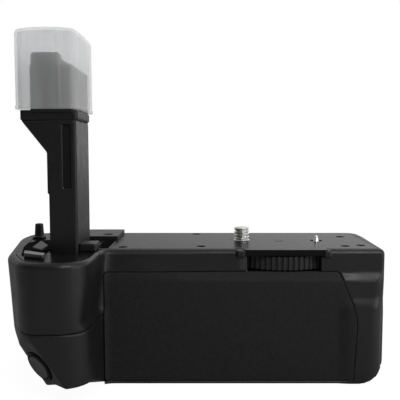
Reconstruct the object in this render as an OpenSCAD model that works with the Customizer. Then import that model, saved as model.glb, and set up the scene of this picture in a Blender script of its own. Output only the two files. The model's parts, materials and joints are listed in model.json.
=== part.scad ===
// Camera battery grip, millimetres.
// Origin: axis of the attachment screw on the deck plane. +X right seen from the front, -Y front, +Z up.

/* [Body] */
// Reach of the casing to the left of the screw axis
left_reach = 92; // [90:0.5:98]
// Reach of the casing to the right of the screw axis
right_reach = 52; // [51:0.5:58]
// Reach of the main front ahead of the screw axis
front_reach = 27.5; // [27:0.1:30]
// Reach of the rear face behind the screw axis
rear_reach = 22; // [21.5:0.1:25]
// Height of the casing below the deck
body_h = 51; // [50:0.5:56]
// Wall of the casing
wall = 2; // [1.6:0.1:2.2]
// Thickness of the deck plate
deck_t = 2.2; // [1.8:0.1:2.6]
// Height of the set-back band under the deck
band_h = 9; // [8.6:0.1:10]
// Depth of the set-back band
band_setback = 2.2; // [1.6:0.1:2.6]
// Radius of the right-hand bottom edge
end_r = 10; // [6:0.5:10]
// Thickness of the leatherette
skin_t = 1; // [0.6:0.1:1.2]

/* [Handle] */
// Reach of the handle ahead of the screw axis
handle_reach = 53; // [52:0.5:56]
// Right side of the handle, left of the screw axis
handle_side = 53; // [52:0.5:54]
// Depth of the handle's front below the deck
handle_h = 42.4; // [41:0.2:45]
// Depth of the pod seam below the deck
seam_depth = 24; // [23:0.5:26]
// Radius of the shutter button
shutter_r = 4.6; // [4.2:0.1:4.9]
// Travel of the shutter button
shutter_travel = 1.5; // [1:0.1:1.6]
// Radius of the main dial
dial_r = 7; // [6.5:0.1:7.4]
// Width of the main dial
dial_w = 5; // [4.4:0.1:5.4]

/* [Stem] */
// Right face of the stem column, left of the screw axis
stem_side = 61.3; // [61.2:0.1:62]
// Width of the stem column
stem_w = 10.7; // [10:0.1:11.4]
// Depth of the stem column
stem_d = 25; // [24:0.5:26]
// Rear face of the stem column, ahead of the screw axis
stem_back = 8; // [7.5:0.1:8.5]
// Height of the stem column above the deck
stem_h = 47.5; // [44:0.5:52]
// Wall of the stem column
stem_wall = 1.6; // [1.2:0.1:2]
// Width of the contact block inside the cap
block_w = 17.8; // [17:0.1:18.6]
// Height of the contact block above the column
block_h = 23.3; // [21:0.1:26]
// Height of the cap
cap_h = 27.3; // [25:0.1:30]
// Wall of the cap
cap_wall = 0.9; // [0.7:0.1:1.1]

/* [Screw drive] */
// Thread diameter of the attachment screw
screw_d = 6.35; // [6:0.05:6.6]
// Thread pitch
screw_pitch = 1.27; // [1:0.01:1.4]
// Protrusion of the attachment screw
screw_l = 5.2; // [4.5:0.1:6]
// Gear module
gear_m = 0.7; // [0.68:0.01:0.72]
// Teeth of the ring gear in the thumbwheel
ring_teeth = 56; // [54:1:58]
// Teeth of the pinion on the screw
pinion_teeth = 12; // [11:1:13]
// Thumbwheel axis ahead of the screw axis
wheel_y = 4; // [3.5:0.1:4.5]
// Thickness of the thumbwheel
wheel_t = 5.2; // [4.6:0.1:5.6]
// Rim of the thumbwheel outside the gear
wheel_rim = 1; // [0.8:0.1:1.2]
// Finger ribs on the thumbwheel
wheel_ribs = 64; // [48:1:72]
// Height of the finger ribs
rib_h = 0.7; // [0.5:0.1:0.9]

/* [Magazine] */
// Length of one battery pocket
bay_l = 57.6; // [56:0.1:58]
// Height of a battery pocket
bay_h = 21.5; // [20:0.1:22.5]
// Wall of the tray
tray_wall = 1.2; // [1:0.1:1.6]
// Wall of the chassis
chassis_wall = 1.2; // [1:0.1:1.5]
// Radius of the lock key
lock_r = 9; // [7:0.1:10]

/* [Rear controls] */
// Radius of a rear button
button_r = 3.2; // [2.6:0.1:3.5]
// Travel of a rear button
button_travel = 0.7; // [0.5:0.05:0.8]
// Radius of the power knob
knob_r = 5; // [4:0.1:5.4]

/* [Tripod socket] */
// Radius of the threaded bore
socket_r = 2.6; // [2.5:0.05:2.8]

/* [Fits] */
// Seam between casing parts
seam = 0.2; // [0.1:0.05:0.3]
// Gap round parts that slide
slide_gap = 0.3; // [0.25:0.05:0.4]
// Radial clearance of running shafts
run_gap = 0.05; // [0.03:0.01:0.08]

/* [Hidden] */
$fn = 48;
arc_steps = 6;
over = 1;
far = 200;
bite = 0.2;

black = "#232324";
deck_black = "#343436";
rubber = "#1b1b1c";
steel = "#c4c6c8";
brass = "#c9a75a";
clear_grey = "#cfd2d4";

// Casing outline, x y radius, counter-clockwise from the rear left
corner_r = 5;
crease_r = 3;
plan = [[-left_reach, rear_reach, 8], [-left_reach + 7, -front_reach - 8.5, 20],
    [-left_reach + 16, -handle_reach, 12], [-handle_side - 1.5, -handle_reach, 11],
    [-handle_side, -front_reach, crease_r], [right_reach, -front_reach, corner_r],
    [right_reach, rear_reach, corner_r]];
// Side view, y z radius
side_profile = [[-handle_reach, over * 5, 0], [-handle_reach, -body_h, 0], [rear_reach, -body_h, 4],
    [rear_reach, over * 5, 0]];
// Front view, x z radius
left_taper = 2.4;
end_profile = [[-left_reach, over * 5, 0], [-left_reach + left_taper, -body_h, 3],
    [right_reach, -body_h, end_r], [right_reach, over * 5, 0]];
band_y = -front_reach + band_setback;
band_slope = 2.6;
// Underside of the handle, y z: level at the front, then down to the base
under_bend = 7;
under_foot = 2.5;

// Where the casing parts meet
split_y = 8;
pod_side = handle_side + 0.6;

// Thumbwheel train
ring_pitch_r = gear_m * ring_teeth / 2;
pinion_pitch_r = gear_m * pinion_teeth / 2;
centre_distance = ring_pitch_r - pinion_pitch_r;
wheel_x = sqrt(centre_distance * centre_distance - wheel_y * wheel_y);
mesh_angle = atan2(wheel_y, -wheel_x);
tooth_addendum = 0.8 * gear_m;
tooth_dedendum = gear_m;
tooth_backlash = 0.08;
ring_root_r = ring_pitch_r + tooth_dedendum;
wheel_r = ring_root_r + wheel_rim + rib_h;
wheel_web = 1.2;
wheel_top = -deck_t - 0.5;
wheel_z = wheel_top - wheel_t;
axle_r = 2;
hub_r = 4;
clip_t = 0.8;
clip_z = wheel_z - slide_gap - clip_t;
window_l = wheel_x - 16.4;
window_r = wheel_x + 15.6;
journal_r = screw_d / 2 + 0.2;
shank_r = 2.2;
bush_r = journal_r + 1.3;
pinion_top = -deck_t - 0.6;
pinion_z = wheel_z + wheel_web + 0.3;
pin_at = [wheel_x + 15.6, -wheel_y + 0.9];
pin_r = 0.9;
pin_h = 2.2;

// Deck screws
deck_screw_at = [[-handle_side + 6, band_y + 5.9], [-17, band_y + 7.6], [-19, rear_reach - 5.8],
    [right_reach - 9, rear_reach - 14.2], [wheel_x + 24.1, band_y + 8.3]];
dimple_at = [right_reach - 6.6, band_y + 9.9];
thread_r = 0.95;
thread_gap = 0.05;
head_r = 1.7;
head_h = 0.8;
head_sink = 0.5;

// Battery bay, tray and chassis
foot_h = 2.9;
cover_t = 2.4;
latch_room = 3.2;
terminal_room = 1;
chassis_z = -body_h + wall + foot_h;
tray_z = chassis_z + chassis_wall + slide_gap;
tray_h = tray_wall + bay_h;
chassis_top = tray_z + tray_h + slide_gap + chassis_wall;
tray_right = right_reach - cover_t;
tray_l = 2 * bay_l + 3 * tray_wall + latch_room;
tray_left = tray_right - tray_l;
chassis_front = -front_reach + wall + slide_gap;
chassis_back = rear_reach - wall - slide_gap;
tray_front = chassis_front + chassis_wall + slide_gap;
tray_back = chassis_back - chassis_wall - slide_gap;
bay_w = tray_back - tray_front - 2 * tray_wall;
chassis_left = tray_left - terminal_room - chassis_wall;
chassis_right = right_reach - 4.5;
door_top = tray_z + tray_h + 2.9;
door_bottom = tray_z - 0.3;
lock_y = (tray_front + tray_back) / 2;
lock_z = (door_top + door_bottom) / 2;
cover_bulge = 1.6;
lock_t = 1.4;
lock_shaft_r = 2;
tongue_w = 5;
tongue_t = 1.2;
tongue_l = door_top - lock_z + 1.4;
tongue_x = tray_right - 0.4 - tongue_t;

// Facets at the lower left of the handle: a point on each and the direction that it faces
shutter_at = [-left_reach + 20.2, -handle_reach + 5.3, -handle_h + 6.1];
shutter_dir = [-0.592, -0.693, -0.411];
dial_at = [(chassis_left - left_reach) / 2 + 5.4, -front_reach - 3.8, -(handle_h + body_h) / 2 + 6.7];
dial_dir = [-0.826, -0.258, -0.501];

// Boards
board_t = 1.6;
board_post_h = 4;
board_z = chassis_top + board_post_h;
board_left = stem_side - 3.3;
board_front = 14.5;
board_back = 10;
board_right = right_reach - 20;
board_edge = 4;
board_at = [for (x = [-board_left + board_edge, board_right - board_edge], y = [-board_front + board_edge + 0.5,
    board_back - board_edge]) [x, y]];
cable_w = 8;
cable_t = 0.3;
cable_y = -stem_back - stem_d / 2 + 2.5;
cable_x = -stem_side - stem_w / 2 + 0.3;
connector_h = 2.4;
cable_z = board_z + board_t + 1;

// Stem and cap
stem_r = 1.5;
foot_t = 3;
foot_reach = 5;
stem_left = -stem_side - stem_w;
stem_front = -stem_back - stem_d;
block_side = stem_side + 0.8;
block_back = stem_back - 1.8;
block_d = stem_d + 2.6;
collar_h = 3.5;
collar_reach = 8.3;
collar_lip = 0.4;
gusset_h = 11.3;
block_step = 3.8;
cap_z = stem_h + collar_h + slide_gap;
inlay_w = 3.3;
inlay_h = 24;
inlay_t = 0.8;

// Door cradle beside the stem
pad_h = 1.7;
pit_wall = 0.8;
pit_depth = 6;
pit_w = 9.6;
ledge_w = 3;
ledge_d = 10;
ledge_drop = 0.5;
cradle_left = -stem_side + 0.2;
cradle_right = cradle_left + pit_w;
pit_back = -1.2;
pit_front = band_y + wall + 0.3;

// Rear controls in a row between the chassis and the deck
rear_z = (chassis_top - deck_t) / 2;
button_step = 9.5;
rear_x = [for (i = [0:2]) -left_reach + 13 + i * button_step];
knob_x = rear_x[2] + 12;
button_gap = 0.08;
flange_over = 0.5;
flange_t = 0.7;
button_proud = 0.8;
rear_inner = rear_reach - wall;
switch_h = 2;
rear_board_y = rear_inner - flange_t - 0.4 - button_travel - run_gap - switch_h;
knob_t = 2.6;
rear_screw_at = [-handle_side + 13, right_reach - 22];
rear_boss = 6;
boss_l = 8;
bottom_screw_at = [for (x = [-handle_side + 8, right_reach - 17], y = [-front_reach + 9.5, rear_reach - 8])
    [x, y]];

function unit(v) = v / norm(v);
function flat(lists) = [for (l = lists) for (p = l) p];
function xy(p) = [p[0], p[1]];

// Points of one rounded corner at b between a and c
function corner(a, b, c, r) =
    r <= 0 ? [b] :
    let (u = unit(a - b), v = unit(c - b), half = acos(u * v) / 2,
        centre = b + unit(u + v) * r / sin(half), p = b + u * r / tan(half) - centre,
        q = b + v * r / tan(half) - centre, start = atan2(p[1], p[0]),
        sweep = (atan2(q[1], q[0]) - start + 540) % 360 - 180)
    [for (i = [0:arc_steps]) let (a = start + sweep * i / arc_steps) centre + r * [cos(a), sin(a)]];

function rounded(c) = let (n = len(c))
    flat([for (i = [0:n - 1]) corner(xy(c[(i + n - 1) % n]), xy(c[i]), xy(c[(i + 1) % n]), c[i][2])]);

// A closed outline moved inwards by t, with its radii to suit
function edge_normal(a, b) = let (e = unit(b - a)) [-e[1], e[0]];
function inset(c, t) = let (n = len(c))
    [for (i = [0:n - 1])
        let (a = xy(c[(i + n - 1) % n]), b = xy(c[i]), d = xy(c[(i + 1) % n]),
            p = edge_normal(a, b), q = edge_normal(b, d), v = b + t * (p + q) / (1 + p * q),
            convex = cross(b - a, d - b) > 0)
        [v[0], v[1], c[i][2] <= 0 ? 0 : max(convex ? c[i][2] - t : c[i][2] + t, 0.2)]];

function box_outline(x0, y0, x1, y1, r) = [[x0, y0, r], [x1, y0, r], [x1, y1, r], [x0, y1, r]];

// Prisms along each axis of an outline
module z_prism(c, z0, z1) translate([0, 0, z0]) linear_extrude(z1 - z0) polygon(rounded(c));
module x_prism(c, x0, x1) translate([x0, 0, 0]) rotate([90, 0, 90]) linear_extrude(x1 - x0) polygon(rounded(c));
module y_prism(c, y0, y1) translate([0, y1, 0]) rotate([90, 0, 0]) linear_extrude(y1 - y0) polygon(rounded(c));
module block(a, b) translate(a) cube(b - a);
module x_rod(x0, x1, y, z, r) translate([x0, y, z]) rotate([0, 90, 0]) cylinder(r = r, h = x1 - x0);
module y_rod(y0, y1, x, z, r) translate([x, y1, z]) rotate([90, 0, 0]) cylinder(r = r, h = y1 - y0);
module z_rod(z0, z1, x, y, r) translate([x, y, z0]) cylinder(r = r, h = z1 - z0);
module on_facet(at, dir) translate(at)
    rotate([0, acos(dir[2] / norm(dir)), atan2(dir[1], dir[0])]) children();

module facet_cut(at, dir, t)
    on_facet(at, dir) translate([-far / 2, -far / 2, -t]) cube([far, far, far]);

// The set-back band under the deck, right of the handle
module band_cut(t) x_prism([[-far, over * 2, 0], [-far, -band_h - band_slope / 2, 0],
    [-front_reach + t, -band_h - band_slope / 2, 0], [band_y + t, -band_h + band_slope / 2, 0],
    [band_y + t, over * 2, 0]], -handle_side - t, right_reach + over);

// The handle's underside, left of the main front
module under_cut(t) x_prism([[-far, -far, 0], [far, -far, 0], [far, -body_h + t, 0],
    [-front_reach + under_foot + t / 2, -body_h + t, 0], [-handle_reach + under_bend + t / 2, -handle_h + t, 0],
    [-far, -handle_h + t, 0]], -far, -pod_side + t);

// The casing as a solid, moved inwards by t
module casing(t, top) difference() {
    intersection() {
        z_prism(inset(plan, t), -body_h, top);
        x_prism(inset(side_profile, t), -far, far);
        y_prism(inset(end_profile, t), -far, far);
    }
    band_cut(t);
    under_cut(t);
    facet_cut(shutter_at, shutter_dir, t);
    facet_cut(dial_at, dial_dir, t);
}

module shell() difference() {
    casing(0, 0);
    casing(wall, over);
}

module pod_space(grow) block([-far, -far, -far], [-pod_side + grow, split_y, -seam_depth + grow]);

module door_space(grow) block([chassis_right, tray_front - grow, door_bottom - grow],
    [far, tray_back + grow, door_top + grow]);

module screw_holes(points, z0, z1, r) for (p = points) z_rod(z0, z1, p[0], p[1], r);

// Casing
skin_left = -pod_side + 1.6;
skin_right = right_reach - 11.8;
skin_outline = [[skin_left, -body_h + 1.2, 1], [skin_right, -body_h + 1.2, 1],
    [skin_right + 1.2, -body_h / 2, 20], [skin_right - 5.6, -band_h - band_slope / 2 - 0.3, 2],
    [skin_left, -band_h - band_slope / 2 - 0.3, 1]];

module front_shell() color(black) difference() {
    shell();
    block([-far, split_y, -far], [far, far, far]);
    pod_space(seam);
    door_space(slide_gap);
    block([window_l, -far, -band_h + 0.3], [window_r, band_y + wall + over, over]);
    y_prism(inset(skin_outline, -0.3), -far, -front_reach + skin_t);
    z_rod(-far, -body_h + wall + over, 0, 0, socket_r + 1.8 + run_gap);
    screw_holes(bottom_screw_at, -far, -body_h + wall + over, thread_r + thread_gap);
    screw_holes(bottom_screw_at, -far, -body_h + head_sink + head_h, head_r + 0.1);
}

module rear_cover() color(black) {
    difference() {
        shell();
        block([-far, -far, -far], [far, split_y + seam, far]);
        door_space(slide_gap);
        y_prism(inset(pad_outline, -0.2), rear_reach - skin_t, far);
        for (x = rear_x) y_rod(0, far, x, rear_z, button_r + button_gap);
        y_rod(0, far, knob_x, rear_z, axle_r + run_gap);
        for (x = rear_screw_at) {
            y_rod(0, far, x, chassis_top + rear_boss / 2, thread_r + thread_gap);
            y_rod(rear_reach - head_h - head_sink, far, x, chassis_top + rear_boss / 2, head_r + 0.1);
        }
        screw_holes(bottom_screw_at, -far, -body_h + wall + over, thread_r + thread_gap);
        screw_holes(bottom_screw_at, -far, -body_h + head_sink + head_h, head_r + 0.1);
    }
    for (i = [0, 1]) y_rod(rear_board_y, rear_inner + bite, (rear_x[i] + rear_x[i + 1]) / 2, rear_z, 0.8);
}

module handle_pod() color(black) difference() {
    intersection() {
        shell();
        pod_space(0);
    }
    on_facet(shutter_at, shutter_dir) translate([0, 0, -wall - cup_depth])
        cylinder(r = cup_r + thread_gap, h = cup_depth);
    on_facet(shutter_at, shutter_dir) translate([0, 0, -wall - over])
        cylinder(r = bezel_r + thread_gap, h = wall + over * 2);
    on_facet(dial_at, dial_dir) translate([-dial_slot / 2, -dial_w / 2 - slide_gap, -far / 4])
        cube([dial_slot, dial_w + 2 * slide_gap, far / 2]);
}

module deck_plate() color(deck_black) difference() {
    union() {
        difference() {
            z_prism(inset(plan, wall + seam / 2), -deck_t, 0);
            band_cut(wall + seam / 2);
        }
        block([window_l + slide_gap, band_y - 0.9, -deck_t], [window_r - slide_gap, band_y + wall + over, 0]);
    }
    z_rod(-far, far, 0, 0, bush_r + thread_gap);
    z_rod(-far, far, wheel_x, -wheel_y, axle_r + thread_gap);
    z_rod(-far, far, pin_at[0], pin_at[1], pin_r + 0.6 + thread_gap);
    z_rod(-0.6, far, pin_at[0], pin_at[1], 2.5);
    screw_holes(deck_screw_at, -far, far, thread_r + thread_gap);
    screw_holes(deck_screw_at, -head_h - head_sink, far, head_r + 0.1);
    z_rod(-0.4, far, dimple_at[0], dimple_at[1], head_r);
    z_prism(inset(stem_outline, -seam), -far, far);
    block([cradle_left - seam, pit_front - seam, -far], [cradle_right + seam, pit_back + seam, far]);
    screw_holes(stem_screw_at, -far, -deck_t + 1.4, thread_r + thread_gap);
}

module front_skin() color(rubber) y_prism(skin_outline, -front_reach, -front_reach + skin_t);

pad_l = 34;
pad_right = -24;
pad_outline = box_outline(pad_right - pad_l, -body_h + 6, pad_right, chassis_top - 2, 3);
module thumb_pad() color(rubber) y_prism(pad_outline, rear_reach - skin_t, rear_reach + 0.2);

// Stem
stem_outline = box_outline(stem_left, stem_front, -stem_side, -stem_back, stem_r);
stem_screw_at = [for (y = [stem_front + 7, -stem_back - 7]) [stem_left - foot_reach / 2, y]];

module stem_column() color(black) difference() {
    union() {
        z_prism(stem_outline, -deck_t - foot_t, stem_h);
        y_prism([[stem_left + stem_wall / 2, stem_h - gusset_h, 0], [stem_left + stem_wall / 2, stem_h, 0],
            [stem_left - collar_reach, stem_h, 0], [stem_left, stem_h - gusset_h, 0]], stem_front, -stem_back);
        block([stem_left - foot_reach, stem_front + 3, -deck_t - foot_t],
            [-stem_side - stem_r, -stem_back - 3, -deck_t]);
    }
    z_prism(inset(stem_outline, stem_wall), -far, stem_h + over);
    screw_holes(stem_screw_at, -far, far, thread_r + thread_gap);
    block([inlay_x - slide_gap / 2, stem_front - over, stem_h - inlay_h - slide_gap / 2],
        [inlay_x + inlay_w + slide_gap / 2, stem_front + inlay_t + 0.3, stem_h - 2]);
}

inlay_x = -stem_side - 5.6;
module stem_inlay() color(rubber) block([inlay_x, stem_front + 0.3, stem_h - inlay_h],
    [inlay_x + inlay_w, stem_front + 0.3 + inlay_t, stem_h - 2 - slide_gap / 2]);

block_left = -block_side - block_w;
block_front = -block_back - block_d;
module contact_block() color(black) difference() {
    union() {
        z_prism(box_outline(stem_left - collar_reach, block_front, -stem_side + collar_lip, -block_back,
            stem_r), stem_h, stem_h + collar_h);
        z_prism(box_outline(block_left, block_front, -block_side, -block_back, 1.5), stem_h + collar_h - bite,
            stem_h + block_h - block_step);
        z_prism(box_outline(block_left + 2.6, block_front + bite, -block_side - 5, -block_back - bite, 1),
            stem_h + block_h - block_step - bite, stem_h + block_h);
    }
    block([cable_x - 0.5, cable_y - cable_w / 2 - 0.5, stem_h - over],
        [cable_x + 0.8, cable_y + cable_w / 2 + 0.5, stem_h + 16]);
    for (i = [0:4]) block([block_left + 4, block_front + 4 + i * contact_step, stem_h + block_h - contact_sink],
        [block_left + 4 + contact_l, block_front + 4 + i * contact_step + contact_w, far]);
}

contact_w = 2.2;
contact_l = 7;
contact_step = 4;
contact_sink = 0.8;
module stem_contacts() color(brass) for (i = [0:4])
    block([block_left + 4.1, block_front + 4.1 + i * contact_step, stem_h + block_h - contact_sink],
        [block_left + 3.9 + contact_l, block_front + 3.9 + i * contact_step + contact_w,
            stem_h + block_h - 0.3]);

module stem_cable() color("#8a6a3a") y_prism([[cable_x, stem_h + 15, 0], [cable_x, cable_z, 0],
    [-board_left + 1, cable_z, 0], [-board_left + 1, cable_z + cable_t, 0],
    [cable_x + cable_t, cable_z + cable_t, 0], [cable_x + cable_t, stem_h + 15, 0]],
    cable_y - cable_w / 2, cable_y + cable_w / 2);

module stem_screws() color(steel) for (p = stem_screw_at) {
    z_rod(-deck_t - foot_t - bite, -deck_t + 1.2, p[0], p[1], thread_r);
    z_rod(-deck_t - foot_t - head_h, -deck_t - foot_t, p[0], p[1], head_r);
}

cap_r = 2.4;
cap_left = block_left - slide_gap - cap_wall;
cap_right = -block_side + slide_gap + cap_wall;
cap_front = block_front - slide_gap - cap_wall;
cap_back = -block_back + slide_gap + cap_wall;
module contact_cap() color(clear_grey) difference() {
    z_prism(box_outline(cap_left, cap_front, cap_right, cap_back, cap_r), cap_z, cap_z + cap_h);
    z_prism(inset(box_outline(cap_left, cap_front, cap_right, cap_back, cap_r), cap_wall),
        cap_z - over, cap_z + cap_h - cap_wall);
}

// Deck fittings
pad_back = rear_reach - wall - 0.4;
module door_cradle() color(black) {
    difference() {
        union() {
            block([-stem_side - 5.7, pit_back - pit_wall, 0], [cradle_right, pad_back, pad_h]);
            block([cradle_left, pit_front, -pit_depth], [cradle_right, pit_back, 0]);
        }
        block([cradle_left + pit_wall, pit_front + pit_wall, -pit_depth + pit_wall],
            [cradle_right - pit_wall, pit_back - pit_wall, far]);
        z_rod(-far, far, cradle_right - 4.8, pit_back + 4.8, 2);
    }
    block([cradle_left + pit_wall - bite, pit_back - pit_wall - ledge_d, -pit_depth + pit_wall - bite],
        [cradle_left + pit_wall + ledge_w, pit_back - pit_wall + bite, -ledge_drop]);
}

hook_h = 1.6;
hook_y = stem_front - 5;
hook_d = 2.2;
wedge_d = 10;
hook_left = -left_reach + 12;
module door_hook() color(black) {
    block([hook_left, hook_y, 0], [stem_left + 0.4, hook_y + hook_d, hook_h]);
    x_prism([[hook_y + hook_d - 0.1, 0, 0], [hook_y + hook_d + wedge_d, 0, 0],
        [hook_y + hook_d - 0.1, hook_h - 0.4, 0]], hook_left, stem_left - 1);
}

module door_post() color(black) translate([-left_reach + 6.5, 3.7, 0]) rotate_extrude()
    polygon([[0, 0], [2.75, 0], [2.75, 0.8], [1.95, 1.2], [1.65, 6], [1.3, 6.3], [0, 6.3]]);

module locating_pin() color(steel) translate([pin_at[0], pin_at[1], 0]) {
    z_rod(-deck_t, -0.3, 0, 0, pin_r + 0.6);
    z_rod(-0.3 - bite, pin_h, 0, 0, pin_r);
}

module deck_screws() color(steel) for (p = deck_screw_at) {
    z_rod(-deck_t - 5, -head_h - head_sink + bite, p[0], p[1], thread_r);
    z_rod(-head_h - head_sink, -head_sink, p[0], p[1], head_r);
}

// Screw drive
function involute(a) = tan(a) * 180 / PI - a;
function flank(teeth, r) = involute(acos(min(1, gear_m * teeth / 2 * cos(20) / r)));
function tooth_half(teeth, r, sign) = 90 / teeth + sign * (involute(20) - flank(teeth, r))
    - tooth_backlash / (gear_m * teeth / 2) * 180 / PI;
function polar(r, a) = r * [cos(a), sin(a)];
// Outline of a gear; sign 1 has teeth outwards, -1 inwards
function gear_outline(teeth, sign, phase) =
    let (pitch_r = gear_m * teeth / 2, radii = [pitch_r - sign * tooth_dedendum, pitch_r,
        pitch_r + sign * tooth_addendum])
    [for (k = [0:teeth - 1]) let (a = phase + 360 / teeth * k)
        each concat([for (i = [0:2]) polar(radii[i], a - tooth_half(teeth, radii[i], sign))],
            [for (i = [2:-1:0]) polar(radii[i], a + tooth_half(teeth, radii[i], sign))])];
function rib_outline() = [for (k = [0:wheel_ribs - 1]) let (step = 360 / wheel_ribs, a = step * k)
    each [polar(wheel_r - rib_h, a), polar(wheel_r - rib_h, a + step * 0.3), polar(wheel_r, a + step * 0.45),
        polar(wheel_r, a + step * 0.85)]];

module thumbwheel() color(rubber) translate([wheel_x, -wheel_y, wheel_z]) difference() {
    linear_extrude(wheel_t) polygon(rib_outline());
    difference() {
        translate([0, 0, wheel_web]) linear_extrude(wheel_t)
            polygon(gear_outline(ring_teeth, -1, mesh_angle + 180 / ring_teeth));
        cylinder(r = hub_r, h = wheel_t);
    }
    translate([0, 0, -over]) cylinder(r = axle_r + run_gap, h = wheel_t + 2 * over);
}

module wheel_axle() color(steel) z_rod(clip_z - 0.6, -deck_t + 1.4, wheel_x, -wheel_y, axle_r);

module wheel_clip() color(steel) difference() {
    z_rod(clip_z, clip_z + clip_t, wheel_x, -wheel_y, hub_r + 0.6);
    z_rod(clip_z - over, clip_z + clip_t + over, wheel_x, -wheel_y, axle_r);
}

module screw_bush() color(brass) difference() {
    z_rod(-deck_t, 0, 0, 0, bush_r);
    z_rod(-far, far, 0, 0, journal_r + run_gap);
}

// Thread as stacked ridges above a short plain land
crest = 0.3;
thread_depth = 0.6;
land = 0.3;
ridges = floor((screw_l - land + 0.2) / screw_pitch);
screw_root = screw_d / 2 - thread_depth;
module mount_screw() color(steel) rotate_extrude() polygon(concat([[0, pinion_z], [shank_r, pinion_z],
    [shank_r, pinion_top], [journal_r, pinion_top], [journal_r, 0], [screw_d / 2, 0], [screw_d / 2, land]],
    [for (i = [0:ridges - 1]) let (z = land + (i + 0.5) * screw_pitch)
        each [[screw_root, z - screw_pitch / 2 + 0.1], [screw_d / 2, z - crest / 2],
            [screw_d / 2, z + crest / 2]]],
    [[screw_root, screw_l], [0, screw_l]]));

module screw_pinion() color(brass) translate([0, 0, pinion_z]) difference() {
    linear_extrude(pinion_top - pinion_z) polygon(gear_outline(pinion_teeth, 1, mesh_angle));
    translate([0, 0, -over]) cylinder(r = shank_r, h = far);
}

// Chassis and boards
module chassis() color("#55585c") difference() {
    union() {
        block([chassis_left, chassis_front, chassis_z], [chassis_right, chassis_back, chassis_top]);
        screw_holes(deck_screw_at, chassis_top - 0.5, -deck_t, 2.6);
        screw_holes(board_at, chassis_top - 0.5, board_z, 2);
        screw_holes(bottom_screw_at, chassis_z - foot_h, chassis_z + 0.5, 3);
        for (x = rear_screw_at) block([x - rear_boss / 2, chassis_back - boss_l, chassis_top - 0.5],
            [x + rear_boss / 2, chassis_back, chassis_top + rear_boss]);
    }
    block([chassis_left + chassis_wall, chassis_front + chassis_wall, chassis_z + chassis_wall],
        [far, chassis_back - chassis_wall, chassis_top - chassis_wall]);
    facet_cut(dial_at, dial_dir, wall + slide_gap);
    screw_holes(deck_screw_at, -deck_t - 6, over, thread_r + thread_gap);
    screw_holes(board_at, board_z - 3, over, thread_r + thread_gap);
    screw_holes(bottom_screw_at, chassis_z - foot_h - over, chassis_z, thread_r + thread_gap);
    for (x = rear_screw_at) y_rod(chassis_back - boss_l + 2, chassis_back + over, x,
        chassis_top + rear_boss / 2, thread_r + thread_gap);
}

terminal_at = [for (i = [-2:2]) lock_y + i * 6];
terminal_w = 2.4;
terminal_h = 8;
module bay_terminals() color(brass) for (y = terminal_at)
    block([tray_left - terminal_room, y - terminal_w / 2, lock_z - terminal_h / 2],
        [tray_left - 0.6, y + terminal_w / 2, lock_z + terminal_h / 2]);

module tray_contacts() color(brass) for (y = terminal_at)
    block([tray_left - 0.3, y - terminal_w / 2, lock_z - terminal_h / 2],
        [tray_left, y + terminal_w / 2, lock_z + terminal_h / 2]);

board_tab = 7;
module main_board() color("#1f5a3a") difference() {
    z_prism([[-board_left, cable_y - cable_w / 2 - 1, 0],
        [-board_left + board_tab, cable_y - cable_w / 2 - 1, 0],
        [-board_left + board_tab, -board_front, 0], [board_right, -board_front, 0],
        [board_right, board_back, 0], [-board_left, board_back, 0]], board_z, board_z + board_t);
    screw_holes(board_at, -far, far, thread_r + thread_gap);
}

// Parts on the board, clear of the thumbwheel: middle, height, width
chip_right = wheel_x - wheel_r - 4;
chips = [[chip_right, 2, 5], [chip_right - 7, 2, 5], [chip_right - 14, 2, 5], [chip_right - 25, 1.2, 13]];
module board_parts() color("#e4e0d2") {
    block([-board_left + 1, cable_y - cable_w / 2 - 0.8, board_z + board_t],
        [-board_left + 5.5, cable_y + cable_w / 2 + 0.8, board_z + board_t + connector_h]);
    for (c = chips) block([c[0] - c[2] / 2, -c[2] / 2, board_z + board_t],
        [c[0] + c[2] / 2, c[2] / 2, board_z + board_t + c[1]]);
}

module board_screws() color(steel) for (p = board_at) {
    z_rod(board_z - 2.5, board_z + board_t + bite, p[0], p[1], thread_r);
    z_rod(board_z + board_t, board_z + board_t + head_h, p[0], p[1], head_r);
}

// Shutter button, along its own axis
bezel_r = shutter_r + 1.1;
cup_wall = 0.5;
cup_r = bezel_r + 0.1 + cup_wall;
cup_depth = 4.2;
shutter_flange = 0.6;
flange_seat = -wall - 0.1;
module shutter_bezel() color(deck_black) on_facet(shutter_at, shutter_dir) difference() {
    translate([0, 0, -wall]) cylinder(r = bezel_r, h = wall + 0.2);
    translate([0, 0, -wall - over]) cylinder(r = shutter_r + run_gap, h = wall + 3 * over);
}

module shutter_button() color("#4a4a4c") on_facet(shutter_at, shutter_dir) {
    translate([0, 0, flange_seat - bite]) cylinder(r = shutter_r, h = -flange_seat + bite + 0.8);
    translate([0, 0, flange_seat - 0.8]) cylinder(r = shutter_r + shutter_flange, h = 0.8);
    translate([0, 0, flange_seat - 1.6]) cylinder(r = 1.5, h = 1);
}

module shutter_switch() color("#2c2c30") on_facet(shutter_at, shutter_dir) {
    difference() {
        translate([0, 0, -wall - cup_depth]) cylinder(r = cup_r, h = cup_depth);
        translate([0, 0, -wall - cup_depth + cup_wall]) cylinder(r = cup_r - cup_wall, h = cup_depth);
    }
    translate([0, 0, -wall - cup_depth + cup_wall / 2])
        cylinder(r = 2.5, h = cup_depth - cup_wall / 2 - 1.8 - shutter_travel);
}

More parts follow.
